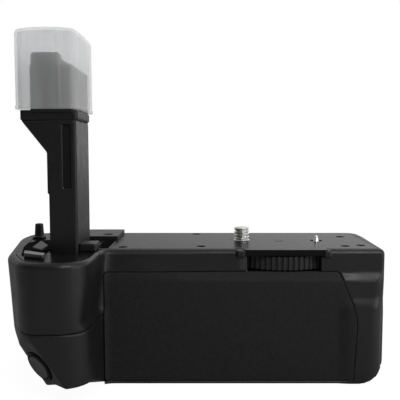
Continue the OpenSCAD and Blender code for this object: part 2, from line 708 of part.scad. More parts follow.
// Main dial across its own facet
dial_proud = 1.4;
dial_depth = dial_r - dial_proud;
dial_slot = 2 * sqrt(dial_r * dial_r - (dial_depth - wall) * (dial_depth - wall)) + 1;
cheek_t = 1;
cheek_w = 6;
cheek_drop = 2;
module along_dial(y0, y1, r) translate([0, y1, -dial_depth]) rotate([90, 0, 0]) cylinder(r = r, h = y1 - y0);
dial_ribs = 28;
module main_dial() color(rubber) on_facet(dial_at, dial_dir) difference() {
    translate([0, dial_w / 2, -dial_depth]) rotate([90, 0, 0]) linear_extrude(dial_w)
        polygon([for (k = [0:dial_ribs - 1]) let (step = 360 / dial_ribs, a = k * step)
            each [polar(dial_r - 0.5, a), polar(dial_r - 0.5, a + step * 0.4), polar(dial_r, a + step * 0.55),
                polar(dial_r, a + step * 0.85)]]);
    along_dial(-dial_w, dial_w, 1 + run_gap);
}

module dial_axle() color(steel) on_facet(dial_at, dial_dir)
    along_dial(-dial_w / 2 - 0.4 - cheek_t, dial_w / 2 + 0.4 + cheek_t, 1);

module dial_bracket() color("#2c2c30") on_facet(dial_at, dial_dir) for (side = [-1, 1]) difference() {
    translate([-cheek_w / 2, side * (dial_w / 2 + 0.4 + cheek_t / 2) - cheek_t / 2, -dial_depth - cheek_drop])
        cube([cheek_w, cheek_t, dial_depth + cheek_drop - wall]);
    along_dial(-dial_w * 2, dial_w * 2, 1);
}

// Rear controls
module rear_button(x) color("#39393b") {
    y_rod(rear_inner - run_gap - bite, rear_reach + button_proud, x, rear_z, button_r);
    y_rod(rear_inner - run_gap - flange_t, rear_inner - run_gap, x, rear_z, button_r + flange_over);
    y_rod(rear_inner - run_gap - flange_t - 0.35, rear_inner - run_gap - flange_t + bite, x, rear_z, 1.2);
}
module rear_button_outer() rear_button(rear_x[0]);
module rear_button_mid() rear_button(rear_x[1]);
module rear_button_inner() rear_button(rear_x[2]);

rear_board_half = button_r + flange_over;
module switch_board() color("#1f5a3a")
    block([rear_x[0] - rear_board_half, rear_board_y - 1.2, rear_z - rear_board_half],
        [rear_x[2] + rear_board_half, rear_board_y, rear_z + rear_board_half]);

switch_w = 5;
module rear_switches() color("#b9bbbd") for (x = rear_x)
    block([x - switch_w / 2, rear_board_y, rear_z - switch_w / 2],
        [x + switch_w / 2, rear_board_y + switch_h, rear_z + switch_w / 2]);

lever_w = 2.4;
lever_over = 2.5;
module power_knob() color("#39393b") {
    difference() {
        y_rod(rear_reach + 0.2, rear_reach + knob_t, knob_x, rear_z, knob_r);
        y_rod(rear_reach, rear_reach + knob_t - 0.6, knob_x, rear_z, axle_r);
    }
    y_prism(box_outline(knob_x - lever_w / 2, rear_z, knob_x + lever_w / 2, rear_z + knob_r + lever_over, 1),
        rear_reach + knob_t - bite, rear_reach + knob_t + 1.4);
}

shaft_over = 1.4;
shaft_l = 3;
module power_shaft() color("#b9bbbd") {
    y_rod(rear_inner - shaft_l, rear_reach + knob_t - 0.6, knob_x, rear_z, axle_r);
    y_rod(rear_inner - shaft_l, rear_inner - 0.2, knob_x, rear_z, axle_r + shaft_over);
}

module rear_screws() color(steel) for (x = rear_screw_at) {
    y_rod(chassis_back - 5, rear_reach - head_h - head_sink + bite, x, chassis_top + rear_boss / 2, thread_r);
    y_rod(rear_reach - head_h - head_sink, rear_reach - head_sink, x, chassis_top + rear_boss / 2, head_r);
}

module bottom_screws() color(steel) for (p = bottom_screw_at) {
    z_rod(-body_h + head_sink + head_h - bite, chassis_z - 0.3, p[0], p[1], thread_r);
    z_rod(-body_h + head_sink, -body_h + head_sink + head_h, p[0], p[1], head_r);
}

// Tripod socket
plate_t = 1.4;
plate_reach = 16;
plate_front = 14;
module tripod_plate() color(steel) difference() {
    z_prism(box_outline(-plate_reach, -plate_front, plate_reach, split_y - 1, 2), -body_h + wall,
        -body_h + wall + plate_t);
    z_rod(-far, far, 0, 0, socket_r + 1.8 + run_gap);
}

module tripod_socket() color(steel) difference() {
    union() {
        z_rod(-body_h, -body_h + wall + plate_t + bite, 0, 0, socket_r + 1.8);
        z_rod(-body_h + wall + plate_t, chassis_z - 0.3, 0, 0, socket_r + 3.6);
    }
    z_rod(-far, far, 0, 0, socket_r);
}

// Magazine
module magazine_tray() color("#3c3d40") difference() {
    block([tray_left, tray_front, tray_z], [tray_right, tray_back, tray_z + tray_h]);
    for (i = [0, 1]) translate([tray_left + tray_wall + i * (bay_l + tray_wall), tray_front + tray_wall,
        tray_z + tray_wall]) cube([bay_l, bay_w, far]);
    block([tray_right - latch_room, tray_front + tray_wall, tray_z + tray_wall],
        [far, tray_back - tray_wall, far]);
}

module magazine_cover() color(black) difference() {
    intersection() {
        y_prism([[tray_right, door_bottom, 0], [right_reach - 0.4, door_bottom, 0],
            [right_reach + cover_bulge, lock_z + 6, 20], [right_reach, door_top, 1], [tray_right, door_top, 0]],
            tray_front, tray_back);
        z_prism([[tray_right, tray_front, 0], [right_reach + cover_bulge, tray_front, 3],
            [right_reach + cover_bulge, tray_back, 3], [tray_right, tray_back, 0]], -far, far);
    }
    x_rod(tray_right - over, far, lock_y, lock_z, lock_shaft_r + run_gap);
    x_rod(right_reach - 0.3, far, lock_y, lock_z, lock_r + slide_gap);
}

key_x = right_reach;
module lock_key() color("#2a2a2c") difference() {
    union() {
        x_rod(key_x, key_x + lock_t, lock_y, lock_z, lock_r);
        x_prism(box_outline(lock_y - lock_r + 1, lock_z - 1.1, lock_y + lock_r - 1, lock_z + 1.1, 0.8),
            key_x + lock_t - bite, key_x + lock_t + 1.8);
    }
    x_rod(key_x - over, key_x + lock_t - 0.4, lock_y, lock_z, lock_shaft_r);
}

module lock_tongue() color(steel) {
    x_rod(tongue_x, key_x + lock_t - 0.4, lock_y, lock_z, lock_shaft_r);
    block([tongue_x, lock_y, lock_z - tongue_w / 2],
        [tongue_x + tongue_t, lock_y + tongue_l, lock_z + tongue_w / 2]);
    x_rod(tongue_x, tongue_x + tongue_t, lock_y, lock_z, tongue_w / 2 + 0.4);
}

front_shell();
rear_cover();
handle_pod();
deck_plate();
front_skin();
thumb_pad();
stem_column();
stem_inlay();
contact_block();
stem_contacts();
stem_cable();
stem_screws();
door_cradle();
door_hook();
door_post();
locating_pin();
screw_bush();
wheel_axle();
wheel_clip();
deck_screws();
chassis();
bay_terminals();
main_board();
board_parts();
board_screws();
shutter_bezel();
shutter_switch();
dial_bracket();
dial_axle();
switch_board();
rear_switches();
rear_screws();
bottom_screws();
tripod_plate();
tripod_socket();
thumbwheel();
mount_screw();
screw_pinion();
shutter_button();
main_dial();
rear_button_outer();
rear_button_mid();
rear_button_inner();
power_knob();
power_shaft();
magazine_tray();
magazine_cover();
tray_contacts();
lock_key();
lock_tongue();
contact_cap();
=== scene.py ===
import bpy
import json
import math
from itertools import product
import numpy as np
from mathutils import Matrix, Vector


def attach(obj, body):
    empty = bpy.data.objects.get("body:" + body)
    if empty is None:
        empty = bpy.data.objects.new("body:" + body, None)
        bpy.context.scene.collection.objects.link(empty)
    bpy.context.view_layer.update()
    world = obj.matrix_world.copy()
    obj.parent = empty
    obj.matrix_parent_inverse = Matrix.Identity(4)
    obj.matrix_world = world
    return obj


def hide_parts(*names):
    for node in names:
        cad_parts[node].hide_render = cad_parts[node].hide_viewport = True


# Camera battery grip. Shapes are in millimetres; camera, floor and lamps are in metres.
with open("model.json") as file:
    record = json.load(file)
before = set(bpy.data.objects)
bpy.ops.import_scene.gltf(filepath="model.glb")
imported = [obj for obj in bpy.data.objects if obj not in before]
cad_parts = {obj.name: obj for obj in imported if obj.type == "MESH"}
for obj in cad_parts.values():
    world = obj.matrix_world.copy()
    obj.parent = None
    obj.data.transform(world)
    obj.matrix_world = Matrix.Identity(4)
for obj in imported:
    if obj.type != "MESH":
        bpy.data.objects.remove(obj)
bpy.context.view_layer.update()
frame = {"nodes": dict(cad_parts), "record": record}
nodes = frame["nodes"]
scene = bpy.context.scene
MM = 0.001


# Distance fields, negative inside a shape

def meet(a, b, radius):
    """Intersection with its edge rounded."""
    u = np.maximum(a + radius, 0.0)
    v = np.maximum(b + radius, 0.0)
    return np.minimum(np.maximum(a, b), -radius) + np.sqrt(u * u + v * v)


def join(a, b, radius):
    """Union with its inner corner filled."""
    return -meet(-a, -b, radius)


def cut(shape, tool, radius):
    """The shape without the tool, with its new edges rounded."""
    return meet(shape, -tool, radius)


def all_of(*fields):
    """Intersection with sharp edges."""
    out = fields[0]
    for field in fields[1:]:
        out = np.maximum(out, field)
    return out


def any_of(*fields):
    """Union with sharp inner corners."""
    out = fields[0]
    for field in fields[1:]:
        out = np.minimum(out, field)
    return out


def step(start, end, t):
    """Smooth ramp from 0 at start to 1 at end."""
    u = np.clip((t - start) / (end - start), 0.0, 1.0)
    return u * u * (3 - 2 * u)


ARC_STEPS = 9


def arc_corner(before, corner, after, radius):
    """Points of the arc that rounds a corner between its two neighbours."""
    before, corner, after = (np.array(p, float) for p in (before, corner, after))
    u = (before - corner) / np.linalg.norm(before - corner)
    v = (after - corner) / np.linalg.norm(after - corner)
    half = math.acos(np.clip(u @ v, -1, 1)) / 2
    centre = corner + (u + v) / np.linalg.norm(u + v) * radius / math.sin(half)
    first = corner + u * radius / math.tan(half) - centre
    last = corner + v * radius / math.tan(half) - centre
    start = math.atan2(first[1], first[0])
    sweep = (math.atan2(last[1], last[0]) - start + 3 * math.pi) % (2 * math.pi) - math.pi
    turns = [start + sweep * i / ARC_STEPS for i in range(ARC_STEPS + 1)]
    return [centre + radius * np.array([math.cos(t), math.sin(t)]) for t in turns]


def rounded(corners):
    """Points of a closed outline; each corner is its place and its radius."""
    out = []
    for i, (x, y, radius) in enumerate(corners):
        before = corners[i - 1][:2]
        after = corners[(i + 1) % len(corners)][:2]
        if radius > 0:
            out += arc_corner(before, (x, y), after, radius)
        else:
            out.append(np.array((x, y), float))
    return np.array(out)


def outline(corners):
    """Signed distance to a closed outline of rounded corners."""
    starts = rounded(corners)
    ends = np.roll(starts, -1, 0)

    def field(u, v):
        u, v = np.broadcast_arrays(u, v)
        best = np.full(u.shape, np.inf)
        odd = np.zeros(u.shape, bool)
        for (px, py), (qx, qy) in zip(starts, ends):
            ex, ey = qx - px, qy - py
            wx, wy = u - px, v - py
            t = np.clip((wx * ex + wy * ey) / (ex * ex + ey * ey), 0.0, 1.0)
            best = np.minimum(best, (wx - ex * t) ** 2 + (wy - ey * t) ** 2)
            if py != qy:
                odd ^= ((v >= py) != (v >= qy)) & (u < px + (v - py) * ex / ey)
        return np.where(odd, -1.0, 1.0) * np.sqrt(best)
    return field


def box(x, y, z, low, high, radius=0.0):
    """Signed distance to a box between two corners, with rounded edges."""
    q = [np.abs(p - (a + b) / 2) - (b - a) / 2 + radius for p, a, b in zip((x, y, z), low, high)]
    outside = np.sqrt(sum(np.maximum(k, 0.0) ** 2 for k in q))
    return outside + np.minimum(all_of(*q), 0.0) - radius


# Meshes of distance fields

def spans(*runs):
    """Grid lines: each run is start, end and spacing."""
    out = []
    for start, end, spacing in runs:
        n = max(1, int(round((end - start) / spacing)))
        out += list(start + (end - start) * np.arange(n) / n)
    return np.array(out + [runs[-1][1]])


CORNERS = list(product((0, 1), repeat=3))
CELL_EDGES = [(corner, axis) for axis in range(3) for corner in CORNERS if corner[axis] == 0]
QUAD_CELLS = ((1, 1), (0, 1), (0, 0), (1, 0))
POLISH_ROUNDS = 2
PROBE = 0.04
LONGEST_MOVE = 0.3
LEAST_SLOPE = 0.2


def crossed_cells(solid):
    """Cells that the surface passes through, and a grid of their numbers."""
    nx, ny, nz = (n - 1 for n in solid.shape)
    count = sum(solid[i:nx + i, j:ny + j, k:nz + k].astype(np.int8) for i, j, k in CORNERS)
    live = (count > 0) & (count < len(CORNERS))
    cells = np.argwhere(live)
    numbers = np.full(live.shape, -1)
    numbers[live] = np.arange(len(cells))
    return cells, numbers


def cell_points(values, cells, lines):
    """One point per cell: the mean of the places where the surface crosses its edges."""
    total = np.zeros((len(cells), 3))
    hits = np.zeros(len(cells))
    for corner, axis in CELL_EDGES:
        start = cells + np.array(corner)
        end = start.copy()
        end[:, axis] += 1
        a = values[tuple(start.T)]
        b = values[tuple(end.T)]
        hit = (a < 0) != (b < 0)
        length = lines[axis][end[hit, axis]] - lines[axis][start[hit, axis]]
        point = np.stack([lines[k][start[hit, k]] for k in range(3)], 1)
        point[:, axis] += a[hit] / (a[hit] - b[hit]) * length
        total[hit] += point
        hits[hit] += 1
    return total / hits[:, None]


def settle(field, points):
    """Moves points along the field's slope onto its zero level."""
    for _ in range(POLISH_ROUNDS):
        d = field(*points.T)
        slope = np.stack([(field(*(points + PROBE * axis).T) - d) / PROBE for axis in np.eye(3)], 1)
        move = np.clip(d, -LONGEST_MOVE, LONGEST_MOVE) / np.maximum((slope * slope).sum(1), LEAST_SLOPE)
        points = points - slope * move[:, None]
    return points


def cell_quads(solid, numbers):
    """Faces that join the four cells round each grid edge that crosses the surface."""
    size = solid.shape
    faces = []
    for a in range(3):
        b = (a + 1) % 3
        c = (a + 2) % 3
        inside = np.take(solid, range(size[a] - 1), a)
        other = np.take(solid, range(1, size[a]), a)
        at = np.argwhere(inside != other)
        at = at[(at[:, b] > 0) & (at[:, b] < size[b] - 1) & (at[:, c] > 0) & (at[:, c] < size[c] - 1)]
        quad = []
        for shift_b, shift_c in QUAD_CELLS:
            cell = at.copy()
            cell[:, b] -= shift_b
            cell[:, c] -= shift_c
            quad.append(numbers[tuple(cell.T)])
        quad = np.stack(quad, 1)
        back = ~inside[tuple(at.T)]
        quad[back] = quad[back][:, ::-1]
        faces.append(quad)
    return np.concatenate(faces)


def surface(field, xs, ys, zs):
    """Closed quad mesh of the field's zero level on a grid of lines."""
    lines = (xs, ys, zs)
    values = field(xs[:, None, None], ys[None, :, None], zs[None, None, :])
    values = np.broadcast_to(values, [len(line) for line in lines])
    solid = values < 0
    cells, numbers = crossed_cells(solid)
    points = settle(field, cell_points(values, cells, lines))
    return points, cell_quads(solid, numbers)


# Mesh helpers

def mesh_object(name, points, faces):
    """Smooth-shaded object of a mesh in millimetres."""
    mesh = bpy.data.meshes.new(name)
    mesh.from_pydata((np.asarray(points, float) * MM).tolist(), [], [[int(i) for i in f] for f in faces])
    mesh.polygons.foreach_set("use_smooth", [True] * len(mesh.polygons))
    mesh.update()
    ob = bpy.data.objects.new(name, mesh)
    scene.collection.objects.link(ob)
    return ob


def place(ob, body, node=None):
    """Gives a piece its body and hides the node that it stands for."""
    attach(ob, body)
    if node:
        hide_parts(node)
    return ob


def axis_frame(at, direction):
    turn = Vector(direction).normalized().to_track_quat("Z", "Y").to_matrix().to_4x4()
    return Matrix.Translation(Vector(at)) @ turn


def lathe(name, profile, at=(0, 0, 0), direction=(0, 0, 1), segments=64, wave=None):
    """Turned piece of rows of radius and height, which end on the axis or close to a ring.

    A wave changes the radius by turn and height.
    """
    stand = axis_frame(at, direction)
    points, faces, rows = [], [], []
    for radius, height in profile:
        turns = [2 * math.pi * k / segments for k in range(1 if radius == 0 else segments)]
        rows.append(range(len(points), len(points) + len(turns)))
        for turn in turns:
            r = radius + (wave(turn, height) if wave and radius else 0)
            points.append(tuple(stand @ Vector((r * math.cos(turn), r * math.sin(turn), height))))
    is_ring = profile[0][0] > 0
    next_rows = rows[1:] + rows[:1] if is_ring else rows[1:]
    for low, high in zip(rows, next_rows):
        for k in range(segments):
            j = (k + 1) % segments
            loop = [low[k % len(low)], low[j % len(low)], high[j % len(high)], high[k % len(high)]]
            faces.append(list(dict.fromkeys(loop)))
    return mesh_object(name, points, faces)


# Radii of edges
SEAM_EDGE = 0.12
FINE_EDGE = 0.2
MOULD_EDGE = 0.25
SOFT_EDGE = 0.3
WALL_EDGE = 0.35
WELL_EDGE = 0.4

# Casing: X to the right, Y to the rear, Z up from the deck
FRONT = -27.5
REAR = 22.0
BASE = -51.0
WALL = 2.0
TOP_EDGE = 2.0
BASE_EDGE = 1.0
REAR_EDGE = 4.0
SPLIT_Y = 8.0
SPLIT_GAP = 0.2

# Right end: it leans out a little towards the deck
RIGHT_X = 54.5
RIGHT_LEAN = 0.02
RIGHT_PIVOT_Z = -24.0
RIGHT_CORNER = 13.0

# Handle
HANDLE_SIDE = -53.0
HANDLE_FILLET = 2.0
FRONT_EDGE = 0.7
TAPER = 0.07
TAPER_X = (-72.0, -86.0)
SEAM_Z = -24.0
SEAM_GAP = 0.08
POD_SIDE = -53.35

# Place and outward direction of the facets for the shutter button and the dial
SHUTTER = ((-71.8, -47.7, -36.3), (-0.592, -0.693, -0.411))
SHUTTER_EDGE = 0.5
DIAL = ((-77.9, -31.3, -40.0), (-0.826, -0.258, -0.501))
DIAL_EDGE = 1.5

# Plans: of the hollow, of the casing at the deck and of the casing low down
HANDLE = [(-76, -53, 12), (-54.5, -53, 11), (-53, FRONT, 3)]
LEFT = [(-91.6, REAR, 10), (-94, 5, 34), (-85.4, -38, 22)]
RIGHT = [(53.9, 8, 60), (53.6, REAR, 6)]
plan_solid = outline([(-92, REAR, 8), (-85, -36, 20), *HANDLE, (52, FRONT, 5), (52, REAR, 5)])
plan_top = outline([*LEFT, *HANDLE, (52, FRONT, 5), *RIGHT])
plan_low = outline([*LEFT, *HANDLE, (53.2, FRONT, 9), *RIGHT])
LOW_Z = (-11.0, -26.0)

# Toe of the handle: its underside rises to the front, along a line turned a little from Y
underside = outline([(-80, 20, 0), (-80, -42.4, 0), (-46, -42.4, 0), (-25, BASE, 0),
                     (60, BASE, 0), (60, 20, 0)])
TOE_PIVOT = (-53.1, -24.5)
TOE_ALONG = 0.985
TOE_ACROSS = 0.17
TOE_SHIFT = 25.0
TOE_EDGE = 0.5

# Finger scoop: X of the handle's inner wall at some heights
SCOOP_HEIGHTS = [-60, -25, -23.4, -21, -17, -11, -6, 10]
SCOOP_WALL = [-52.4, -52.8, -53.8, -55.6, -55.2, -53.9, -53.3, -52.8]
SCOOP_SAMPLES = 1401
SCOOP_Z = np.linspace(SCOOP_HEIGHTS[0], SCOOP_HEIGHTS[-1], SCOOP_SAMPLES)
SCOOP_FRONT = -28.5
SCOOP_EDGE = 3.0
BLUR_HALF = 40
BLUR_REACH = 2.5


def scoop_curve():
    """The scoop's wall with its bends blurred."""
    wall = np.pad(np.interp(SCOOP_Z, SCOOP_HEIGHTS, SCOOP_WALL), BLUR_HALF, mode="edge")
    blur = np.exp(-np.linspace(-BLUR_REACH, BLUR_REACH, 2 * BLUR_HALF + 1) ** 2)
    return np.convolve(wall, blur / blur.sum(), mode="valid")


SCOOP_X = scoop_curve()

# Band along the top of the front, which is set back
BAND = 2.2
BAND_CRISP_X = (-40.0, -6.0)
BAND_RIGHT_X = (36.0, 44.0)
BAND_Z = (-12.2, -8.4)
BAND_RIGHT_Z = (-13.4, -7.6)
BAND_LEFT_Z = (-13.0, 0.5)

# Swell of the front below the waist, near the right end
SWELL = 2.3
SWELL_LEFT_X = (34.0, 40.0)
SWELL_RIGHT_X = (52.5, 46.5)
SWELL_Z = (-17.0, -22.4)
SWELL_FADE_Z = (-25.0, -48.0)
SWELL_FADE = 0.6
SWELL_Y = (0.0, -16.0)


def facet(seat, x, y, z):
    """Height above the plane of a facet."""
    at = seat[0]
    n = np.array(seat[1]) / np.linalg.norm(seat[1])
    return (x - at[0]) * n[0] + (y - at[1]) * n[1] + (z - at[2]) * n[2]


def swell(x, z):
    across = step(*SWELL_LEFT_X, x) * step(*SWELL_RIGHT_X, x)
    return SWELL * across * step(*SWELL_Z, z) * (1 - SWELL_FADE * step(*SWELL_FADE_Z, z))


def front_face(x, z):
    """Y of the front: the band's edge is gentle at the left and crisp from there on."""
    crisp = step(*BAND_CRISP_X, x)
    right = step(*BAND_RIGHT_X, x)
    slope = step(*BAND_RIGHT_Z, z) * right + step(*BAND_Z, z) * (1 - right)
    band = slope * crisp + step(*BAND_LEFT_Z, z) * (1 - crisp)
    return FRONT + BAND * band - swell(x, z)


def trimmed(d, x, y, z):
    """A plan cut to the taper, front, scoop, base, ends, facets and toe."""
    d = d - TAPER * z * step(*TAPER_X, x)
    d = meet(d, join(front_face(x, z) - y, x - HANDLE_SIDE, HANDLE_FILLET), FRONT_EDGE)
    d = meet(d, join(x - np.interp(z, SCOOP_Z, SCOOP_X), SCOOP_FRONT - y, SCOOP_EDGE), SCOOP_EDGE)
    d = meet(d, BASE - z, BASE_EDGE)
    rear = meet(y - REAR, BASE - z, REAR_EDGE)
    right = meet(x - RIGHT_X - RIGHT_LEAN * (z - RIGHT_PIVOT_Z), BASE - z, RIGHT_CORNER)
    d = all_of(d, rear, right)
    d = meet(d, facet(SHUTTER, x, y, z), SHUTTER_EDGE)
    d = meet(d, facet(DIAL, x, y, z), DIAL_EDGE)
    toe = TOE_ALONG * (y - TOE_PIVOT[1]) - TOE_ACROSS * (x - TOE_PIVOT[0]) - TOE_SHIFT
    return meet(d, any_of(underside(toe, z), POD_SIDE - x), TOE_EDGE)


def casing(x, y, z):
    """Outer form of the whole casing."""
    low = step(*LOW_Z, z)
    plan = plan_top(x, y) * (1 - low) + plan_low(x, y) * low - swell(x, z) * step(*SWELL_Y, y)
    return meet(trimmed(plan, x, y, z), z, TOP_EDGE)


def shell(x, y, z):
    """Casing wall, open at the top."""
    return cut(casing(x, y, z), trimmed(plan_solid(x, y), x, y, z) + WALL, WALL_EDGE)


# Front skin in its recess
skin_field = outline([(-53.05, -49.8, 1), (40.2, -49.8, 1), (41.4, -25.5, 20), (34.8, -8.4, 2),
                      (-53.05, -8.4, 1)])
SKIN = 0.8
SKIN_GAP = 0.12
SKIN_SINK = 0.02
SKIN_BACK = -22.0
RECESS = 0.9


def skin_recess(x, y, z):
    return all_of(skin_field(x, z) - SKIN_GAP, -(casing(x, y, z) + RECESS), y - SKIN_BACK)


def front_skin(x, y, z):
    d = casing(x, y, z)
    sheet = meet(d + SKIN_SINK, skin_field(x, z), FINE_EDGE)
    return all_of(sheet, -(d + SKIN), y - SKIN_BACK)


# Thumbwheel window with the deck's lip over it and an ear at each end of the lip
WINDOW_X = (0.5, 27.9)
WINDOW_Z = -8.3
WINDOW_BACK = -22.0
LIP_X = (-1.5, 30.45)
LIP_Z = -2.45
FLARE = 3.0
FLARE_OVERLAP = 0.3
FLARE_Y = -25.3
FLARE_SLOPE = 0.4
EARS = (((-3.6, -26.6, -2.9), (-0.5, -23.0, -0.25), 0.4), ((28.9, -26.6, -2.9), (31.4, -23.0, -0.25), 0.4))


def ears(x, y, z):
    return any_of(*(box(x, y, z, *ear) for ear in EARS))


def wheel_window(x, y, z):
    left = WINDOW_X[0]
    lip = all_of(LIP_X[0] - x, x - LIP_X[1], LIP_Z - z, y - WINDOW_BACK)
    hole = all_of(left - x, x - WINDOW_X[1], WINDOW_Z - z, y - WINDOW_BACK)
    slant = y - FLARE_Y - FLARE_SLOPE * (x - left + FLARE)
    flare = all_of(left - FLARE - x, x - left - FLARE_OVERLAP, WINDOW_Z - z, slant)
    return any_of(lip, hole, flare)


# Magazine door at the right end, with a well for the lock key
DOOR = ((44.0, -23.7, -44.9), (60.0, 18.2, -19.0))
DOOR_SPACE = ((43.0, -23.85, -45.05), (70.0, 18.35, -18.85))
DOOR_ROOM = ((40.0, -22.2, -43.4), (49.6, 16.7, -20.5))
DOOR_SINK = 0.02
LOCK_Y = -2.75
LOCK_Z = -31.95
LOCK_RADIUS = 9.3
LOCK_FLOOR = 51.7


def magazine_cover(x, y, z):
    d = meet(casing(x, y, z) + DOOR_SINK, box(x, y, z, *DOOR), MOULD_EDGE)
    d = cut(d, box(x, y, z, *DOOR_ROOM), SOFT_EDGE)
    return cut(d, all_of(np.hypot(y - LOCK_Y, z - LOCK_Z) - LOCK_RADIUS, LOCK_FLOOR - x), SOFT_EDGE)


def front_shell(x, y, z):
    d = meet(shell(x, y, z), y - SPLIT_Y, SOFT_EDGE)
    d = cut(d, all_of(x - POD_SIDE - SEAM_GAP, z - SEAM_Z - SEAM_GAP), SEAM_EDGE)
    d = cut(d, box(x, y, z, *DOOR_SPACE), FINE_EDGE)
    d = join(cut(d, wheel_window(x, y, z), WALL_EDGE), ears(x, y, z), FINE_EDGE)
    return cut(d, skin_recess(x, y, z), SEAM_EDGE)


# Rear cover with the thumb pad's recess, three button holes and two screw holes
pad_field = outline([(-58, -45, 3), (-24, -45, 3), (-24, -22.4, 3), (-58, -22.4, 3)])
PAD_GAP = 0.2
PAD_FLOOR = 21.0
BUTTONS_X = (-79.0, -69.5, -60.0)
BUTTONS_Z = -11.3
BUTTON_HOLE = 3.4
BUTTON_DISH = 4.6
DISH_FLOOR = 21.5
REAR_SCREWS = ((-40.0, -17.4), (30.0, -17.4))
SCREW_HOLE = 1.9
SCREW_FLOOR = 20.7


def rear_cover(x, y, z):
    d = meet(shell(x, y, z), SPLIT_Y + SPLIT_GAP - y, SOFT_EDGE)
    d = cut(d, box(x, y, z, *DOOR_SPACE), FINE_EDGE)
    d = cut(d, all_of(pad_field(x, z) - PAD_GAP, PAD_FLOOR - y), MOULD_EDGE)
    for button_x in BUTTONS_X:
        r = np.hypot(x - button_x, z - BUTTONS_Z)
        hole = join(r - BUTTON_HOLE, all_of(r - BUTTON_DISH, DISH_FLOOR - y), FINE_EDGE)
        d = cut(d, hole, SOFT_EDGE)
    for screw_x, screw_z in REAR_SCREWS:
        r = np.hypot(x - screw_x, z - screw_z)
        d = cut(d, all_of(r - SCREW_HOLE, SCREW_FLOOR - y), MOULD_EDGE)
    return d


# Lower handle with a round well for the shutter button and a slot for the dial
WELL_RADIUS = 5.8
WELL_DEPTH = 6.0
SLOT_HALF_LENGTH = 6.9
SLOT_HALF_WIDTH = 2.9
SLOT_DEPTH = 4.0


def shutter_well(x, y, z):
    at = SHUTTER[0]
    height = facet(SHUTTER, x, y, z)
    distance_squared = (x - at[0]) ** 2 + (y - at[1]) ** 2 + (z - at[2]) ** 2
    r = np.sqrt(np.maximum(distance_squared - height * height, 0.0))
    return all_of(r - WELL_RADIUS, -height - WELL_DEPTH)


def dial_slot(x, y, z):
    at = DIAL[0]
    out = np.array(DIAL[1]) / np.linalg.norm(DIAL[1])
    side = np.array([-out[1], out[0], 0]) / math.hypot(out[0], out[1])
    run = np.cross(out, side)
    p = (x - at[0], y - at[1], z - at[2])
    u, v, w = (sum(p[k] * axis[k] for k in range(3)) for axis in (run, side, out))
    return all_of(np.abs(u) - SLOT_HALF_LENGTH, np.abs(v) - SLOT_HALF_WIDTH, -w - SLOT_DEPTH)


def handle_pod(x, y, z):
    d = meet(shell(x, y, z), y - SPLIT_Y, SOFT_EDGE)
    d = meet(meet(d, z - SEAM_Z, SEAM_EDGE), x - POD_SIDE, SEAM_EDGE)
    d = cut(d, shutter_well(x, y, z), WELL_EDGE)
    return cut(d, dial_slot(x, y, z), WELL_EDGE)


# Stem, with a step low on its left, a gusset under the collar and a slot for the inlay
stem_plan = outline([(-72, -9.6, 1), (-72, -33, 1), (-61.3, -33, 1), (-61.3, -9.6, 1)])
gusset = outline([(-71.2, 36.2, 0), (-72, 36.2, 0), (-80.9, 47.5, 0), (-71.2, 47.5, 0)])
STEM_MID_Z = 21.15
STEM_HALF = 26.35
STEM_END_EDGE = 0.1
STEM_STEP_X = -71.35
STEM_STEP_Z = 21.3
GUSSET_Y = -21.3
GUSSET_HALF = 11.7
GUSSET_EDGE = 0.7
GUSSET_FILLET = 0.4
INLAY_X = -64.85
INLAY_HALF = 1.35
INLAY_FLOOR = -31.9
INLAY_Z = (23.4, 46.0)


def stem_column(x, y, z):
    d = meet(stem_plan(x, y), np.abs(z - STEM_MID_Z) - STEM_HALF, STEM_END_EDGE)
    d = cut(d, all_of(x - STEM_STEP_X, z - STEM_STEP_Z), SOFT_EDGE)
    d = join(d, meet(gusset(x, z), np.abs(y - GUSSET_Y) - GUSSET_HALF, GUSSET_EDGE), GUSSET_FILLET)
    slot = all_of(np.abs(x - INLAY_X) - INLAY_HALF, y - INLAY_FLOOR, INLAY_Z[0] - z, z - INLAY_Z[1])
    return cut(d, slot, SOFT_EDGE)


# Contact block on the stem: each box is two corners and the radius of its edges
COLLAR = ((-80.9, -33.0, 47.52), (-61.3, -10.4, 51.0), 0.1)
COLLAR_RIGHT = ((-63.0, -32.6, 47.7), (-60.7, -10.8, 51.0), 0.7)
HEAD = ((-77.2, -33.8, 50.0), (-62.1, -6.2, 67.0), 0.8)
HEAD_REAR = ((-79.9, -14.0, 50.0), (-70.0, -6.2, 67.0), 0.8)
HEAD_FILLET = 0.5
CROWN = ((-76.6, -33.0, 60.0), (-67.1, -28.0, 71.2), 0.6)
CARRIER = ((-77.2, -32.0, 60.0), (-68.6, -7.0, 70.8), 0.4)
COLLAR_FILLET = 0.1
CONTACTS = 5
CONTACT_X = (-75.9, -68.9)
CONTACT_Y = -29.8
CONTACT_Z = (70.0, 72.0)
CONTACT_PITCH = 4
CONTACT_WIDTH = 2.2
CONTACT_EDGE = 0.1


def contact_block(x, y, z):
    collar = join(box(x, y, z, *COLLAR), box(x, y, z, *COLLAR_RIGHT), COLLAR_FILLET)
    head = join(box(x, y, z, *HEAD), box(x, y, z, *HEAD_REAR), HEAD_FILLET)
    top = any_of(box(x, y, z, *CROWN), box(x, y, z, *CARRIER))
    d = join(join(collar, head, FINE_EDGE), top, FINE_EDGE)
    for i in range(CONTACTS):
        start = CONTACT_Y + CONTACT_PITCH * i
        low = (CONTACT_X[0], start, CONTACT_Z[0])
        high = (CONTACT_X[1], start + CONTACT_WIDTH, CONTACT_Z[1])
        d = cut(d, box(x, y, z, low, high), CONTACT_EDGE)
    return d


